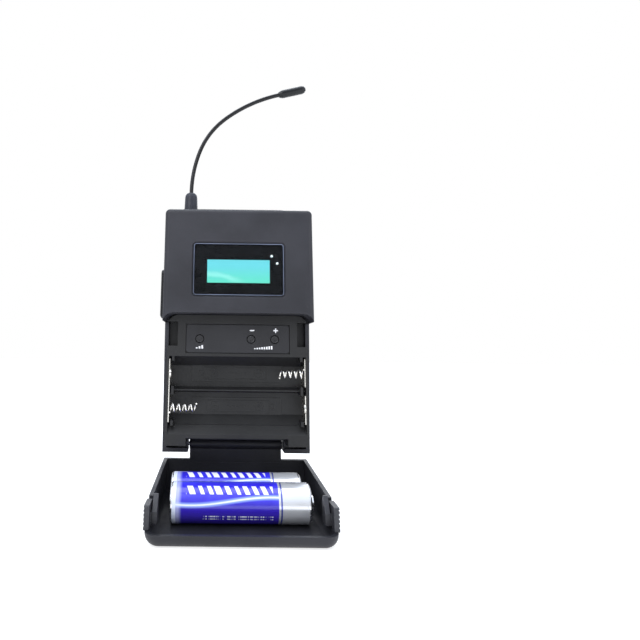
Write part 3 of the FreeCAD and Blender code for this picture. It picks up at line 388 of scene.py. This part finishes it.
# ---------------------------------------------------------------- thin raised shapes
class Relief:
    """Thin closed prisms standing on a plane that faces -Y or +Y, gathered into one piece."""

    def __init__(self, y_plane, height, facing=-1):
        self.mesh = bmesh.new()
        self.low = y_plane
        self.high = y_plane + facing * height
        self.facing = facing

    def ring(self, outer, inner=None):
        """A filled outline, or the strip between two outlines with as many points."""
        def line(points, y):
            return [self.mesh.verts.new((x, y, z)) for x, z in points]

        loops = [line(outer, self.low), line(outer, self.high)]
        if inner:
            loops += [line(inner, self.high), line(inner, self.low)]
            loops.append(loops[0])
        else:
            self.mesh.faces.new(loops[1])
            self.mesh.faces.new(list(reversed(loops[0])))
        for first, second in zip(loops, loops[1:]):
            for n in range(len(first)):
                k = (n + 1) % len(first)
                self.mesh.faces.new((first[n], first[k], second[k], second[n]))

    def rectangle(self, cx, cz, w, h, r, line=None):
        inner = rounded(cx, cz, w - 2 * line, h - 2 * line, max(r - line, 0.02)) if line else None
        self.ring(rounded(cx, cz, w, h, r), inner)

    def disc(self, cx, cz, radius, line=None):
        self.ring(circle(cx, cz, radius), circle(cx, cz, radius - line) if line else None)

    def piece(self, name, body, material, soften=0.0):
        bmesh.ops.recalc_face_normals(self.mesh, faces=self.mesh.faces)
        data = bpy.data.meshes.new(name)
        self.mesh.to_mesh(data)
        self.mesh.free()
        obj = bpy.data.objects.new(name, data)
        scene.collection.objects.link(obj)
        data.materials.append(material)
        if soften:
            bevel = obj.modifiers.new("soften", "BEVEL")
            bevel.width = soften
            bevel.segments = 2
            bevel.angle_limit = math.radians(50)
        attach(obj, body)
        return obj


def circle(cx, cz, radius, count=40):
    """Points in metres, from millimetres across and above the case's bottom."""
    turn = 2 * math.pi / count
    return [((cx + radius * math.cos(n * turn)) * MM, (cz + radius * math.sin(n * turn)) * MM + BASE)
            for n in range(count)]


def rounded(cx, cz, w, h, r, count=6):
    points = []
    for quarter, (sx, sz) in enumerate(((1, 1), (-1, 1), (-1, -1), (1, -1))):
        for n in range(count + 1):
            a = math.pi / 2 * (quarter + n / count)
            points.append(((cx + sx * (w / 2 - r) + r * math.cos(a)) * MM,
                           (cz + sz * (h / 2 - r) + r * math.sin(a)) * MM + BASE))
    return points


def panel_marks():
    """White printed signs: minus, plus, a channel sign and a growing volume wedge."""
    marks = Relief(FACE, 0.03 * MM)
    marks.rectangle(6.1, 50.65, 1.9, 0.5, 0.12)
    plus = [(-0.95, -0.25), (-0.25, -0.25), (-0.25, -0.95), (0.25, -0.95), (0.25, -0.25), (0.95, -0.25),
            (0.95, 0.25), (0.25, 0.25), (0.25, 0.95), (-0.25, 0.95), (-0.25, 0.25), (-0.95, 0.25)]
    marks.ring([((16.06 + x) * MM, (50.7 + z) * MM + BASE) for x, z in plus])
    for n in range(3):
        marks.rectangle(-17.0 + 1.15 * n, 43.15 + 0.22 * n, 0.7, 0.5 + 0.44 * n, 0.1)
    for n in range(8):
        marks.rectangle(7.3 + 1.0 * n, 43.1 + 0.07 * n, 0.62, 0.42 + 0.14 * n, 0.08)
    marks.piece("panel_marks", "case", INK)


def bay_reliefs():
    """Raised floor pads in the two bays, each with the outline of the cell that belongs there."""
    step = 0.18 * MM
    pads = Relief(BAY_BACK, step)
    signs = Relief(BAY_BACK - step, 0.14 * MM)
    for height, way in ((32.7, -1), (18.9, 1)):
        pads.rectangle(0, height, 38.5, 7.4, 0.5)
        signs.rectangle(0.6 * way, height, 27.0, 5.2, 0.4, line=0.32)
        signs.rectangle(way * 15.3, height, 1.9, 2.1, 0.25, line=0.3)
        signs.disc(way * 9.6, height, 1.9, line=0.3)
        signs.rectangle(way * 9.6, height, 1.8, 0.34, 0.08)
        signs.rectangle(way * 9.6, height + 0.6, 0.34, 0.6, 0.08)
        signs.rectangle(way * 9.6, height - 0.6, 0.34, 0.6, 0.08)
        signs.disc(way * -9.4, height, 1.9, line=0.3)
        signs.rectangle(way * -9.4, height, 1.8, 0.34, 0.08)
        for n in range(5):
            signs.rectangle(-3.6 + 1.8 * n, height, 0.8, 0.5, 0.1)
    pads.piece("bay_floor_pads", "case", FRAME, soften=0.05 * MM)
    signs.piece("bay_cell_outlines", "case", FRAME, soften=0.03 * MM)


def painted_window_rim_highlight():
    """A thin raised bead just inside the display window's opening, coloured bright blue-grey as a painted
    highlight standing in for the glint on the window's polished edge.
    """
    low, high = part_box("display_window")
    bead = Relief(low.y - 0.02 * MM, 0.1 * MM)
    width, tall = (high.x - low.x) / MM, (high.z - low.z) / MM
    middle = ((high.z + low.z) / 2 - BASE) / MM
    bead.rectangle((high.x + low.x) / 2 / MM, middle, width - 0.1, tall - 0.1, 1.1, line=0.16)
    bead.piece("painted_window_rim_highlight", "case", PAINTED_RIM_HIGHLIGHT)


def plate_marks():
    """Grey rules and a frame on the rear plate, in the place of its printing."""
    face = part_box("rear_plate")[1].y
    marks = Relief(face, 0.02 * MM, facing=1)
    marks.rectangle(0, 33.55, 28.4, 16.6, 0.5, line=0.18)
    for n, width in enumerate((13.0, 7.0, 20.0, 16.0, 11.0)):
        marks.rectangle(12.6 - width / 2, 39.6 - 2.9 * n, width, 0.5 if n else 1.3, 0.12)
    marks.disc(-11.2, 28.4, 1.2, line=0.22)
    marks.rectangle(-7.6, 28.4, 2.4, 2.0, 0.3, line=0.22)
    marks.piece("plate_marks", "case", INK_GREY)


def button_rings():
    """Fine raised ring on each key's face."""
    for node_name, body in (("button_channel", "channel_key"), ("button_volume_down", "volume_down_key"),
                            ("button_volume_up", "volume_up_key")):
        low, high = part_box(node_name)
        ring = Relief(low.y + 0.22 * MM, 0.2 * MM)
        cx, cz = (low.x + high.x) / 2 / MM, ((low.z + high.z) / 2 - BASE) / MM
        ring.disc(cx, cz, 0.95, line=0.2)
        ring.piece(node_name + "_ring", body, BUTTON, soften=0.04 * MM)


panel_marks()
painted_window_rim_highlight()
bay_reliefs()
plate_marks()
button_rings()


# ---------------------------------------------------------------- floor, light and camera
def floor_and_backdrop():
    """A plain pale sheet, sunk just under the door's foot and faintly lit so that no horizon shows."""
    data = bpy.data.meshes.new("floor")
    reach = 6.0
    corners = [(-reach, -reach, 0), (reach, -reach, 0), (reach, reach, 0), (-reach, reach, 0)]
    data.from_pydata(corners, [], [(0, 1, 2, 3)])
    sheet = bpy.data.objects.new("floor", data)
    sheet.location.z = -0.05 * MM
    scene.collection.objects.link(sheet)
    t = Tree("floor_white")
    t.join(t.mix(t.noise(3, 2.0), (0.55, 0.55, 0.55), (0.58, 0.58, 0.58)), t.shader.inputs["Base Color"])
    set_values(t.shader, Roughness=0.8, Specular_IOR_Level=0.1)
    set_values(t.shader, Emission_Color=(1, 1, 1, 1), Emission_Strength=0.72)
    data.materials.append(t.material)


def soft_light(name, place, size, power, aim=(0, -0.01, 0.09)):
    lamp = bpy.data.lights.new(name, "AREA")
    lamp.shape = "RECTANGLE"
    lamp.size, lamp.size_y = size
    lamp.energy = power
    obj = bpy.data.objects.new(name, lamp)
    obj.location = place
    obj.rotation_euler = (Vector(aim) - Vector(place)).to_track_quat("-Z", "Y").to_euler()
    scene.collection.objects.link(obj)


def studio():
    """White all round the view, with a cooler, brighter light overhead than at the sides."""
    world = bpy.data.worlds.new("studio")
    world.use_nodes = True
    tree = world.node_tree
    tree.nodes.clear()
    place = tree.nodes.new("ShaderNodeTexCoord")
    split = tree.nodes.new("ShaderNodeSeparateXYZ")
    tree.links.new(place.outputs["Generated"], split.inputs[0])
    ramp = tree.nodes.new("ShaderNodeValToRGB")
    tree.links.new(split.outputs[2], ramp.inputs[0])
    ramp.color_ramp.elements[0].color = (0.5, 0.49, 0.48, 1)
    ramp.color_ramp.elements[1].color = (1.0, 1.12, 1.32, 1)
    ramp.color_ramp.elements[0].position = 0.02
    ramp.color_ramp.elements[1].position = 0.75
    around = tree.nodes.new("ShaderNodeBackground")
    tree.links.new(ramp.outputs[0], around.inputs["Color"])
    behind = tree.nodes.new("ShaderNodeBackground")
    behind.inputs["Color"].default_value = (1, 1, 1, 1)
    seen = tree.nodes.new("ShaderNodeLightPath")
    mix = tree.nodes.new("ShaderNodeMixShader")
    tree.links.new(seen.outputs["Is Camera Ray"], mix.inputs[0])
    tree.links.new(around.outputs[0], mix.inputs[1])
    tree.links.new(behind.outputs[0], mix.inputs[2])
    tree.links.new(mix.outputs[0], tree.nodes.new("ShaderNodeOutputWorld").inputs[0])
    scene.world = world


EYE = Vector((-8.54, -196.9, 59.0)) * MM
PITCH, YAW, ROLL = math.radians(9.416), 0.001, math.radians(0.686)
LENS, SENSOR = 25.64, 36
SHIFT = (0.159, -0.0603)


def camera():
    """The photograph's eye: low in front, pitched up, framed off centre."""
    forward = Vector((math.sin(YAW) * math.cos(PITCH), math.cos(YAW) * math.cos(PITCH), math.sin(PITCH)))
    flat = Vector((math.cos(YAW), -math.sin(YAW), 0))
    upward = flat.cross(forward)
    right = flat * math.cos(ROLL) + upward * math.sin(ROLL)
    top = right.cross(forward)
    data = bpy.data.cameras.new("camera")
    data.lens = LENS
    data.sensor_width = SENSOR
    data.shift_x, data.shift_y = SHIFT
    data.clip_start = 0.01
    obj = bpy.data.objects.new("camera", data)
    turn = Matrix((right, top, -forward)).transposed().to_4x4()
    obj.matrix_world = Matrix.Translation(EYE) @ turn
    scene.collection.objects.link(obj)
    scene.camera = obj


floor_and_backdrop()
soft_light("key", (-0.35, -0.55, 0.55), (0.5, 0.5), 2.6)
soft_light("fill", (0.6, -0.45, 0.25), (0.5, 0.6), 1.0)
soft_light("rim", (0.1, 0.6, 0.5), (0.6, 0.4), 2.0)
soft_light("overhead", (0.0, -0.05, 0.8), (0.6, 0.6), 2.0)
studio()
scene.view_settings.view_transform = "Standard"
camera()
